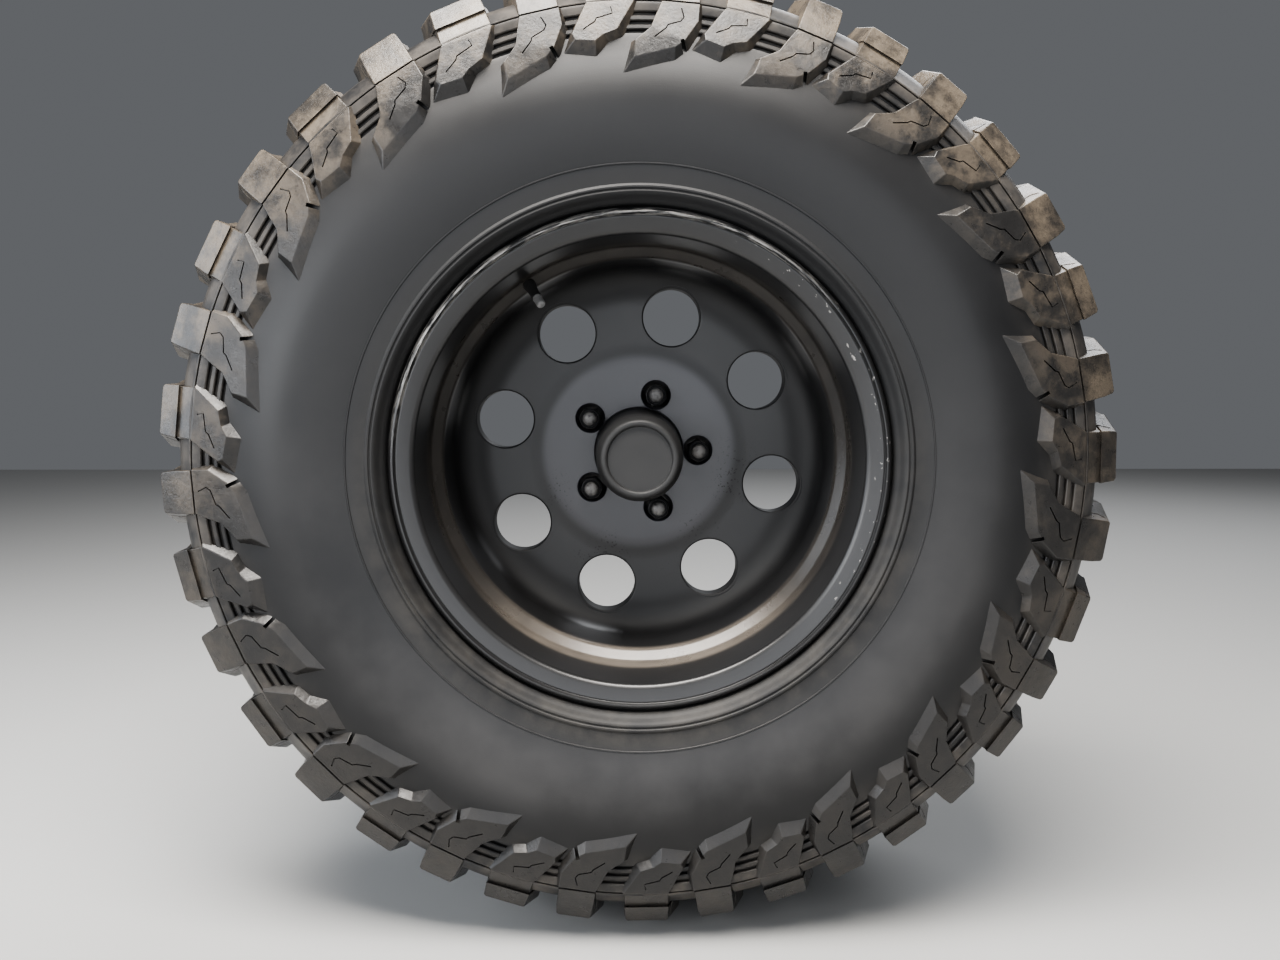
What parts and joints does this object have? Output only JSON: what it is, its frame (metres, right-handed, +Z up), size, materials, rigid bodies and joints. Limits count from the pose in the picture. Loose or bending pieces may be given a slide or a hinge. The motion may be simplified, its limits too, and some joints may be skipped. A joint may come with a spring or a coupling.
{
  "type": "off-road vehicle wheel with mud tyre",
  "caption": "Wide off-road wheel: deep-lip black wheel with round vents, hub cap and lug nuts, and a lugged mud tyre.",
  "frame": {"origin": "centre of the hub mounting face, on the axle line", "axes": "+Y along the axle, inboard to the vehicle; +Z up; the outer face looks to -Y"},
  "size_m": [0.8236, 0.316, 0.8233],
  "materials": {
    "tyre_rubber": "matt moulded rubber with dust on the lugs",
    "wheel_paint": "satin black paint on aluminium",
    "cap_plastic": "satin dark grey",
    "nut_steel": "black with worn grey tips",
    "valve_rubber": "black rubber",
    "valve_plastic": "grey plastic"
  },
  "bodies": {
    "root": {"tyre": "tyre_rubber", "cast_wheel": "wheel_paint", "centre_cap": "cap_plastic", "lug_nut_1": "nut_steel", "lug_nut_2": "nut_steel", "lug_nut_3": "nut_steel", "lug_nut_4": "nut_steel", "lug_nut_5": "nut_steel", "valve_stem": "valve_rubber", "valve_cap": "valve_plastic"}
  },
  "joints": []
}
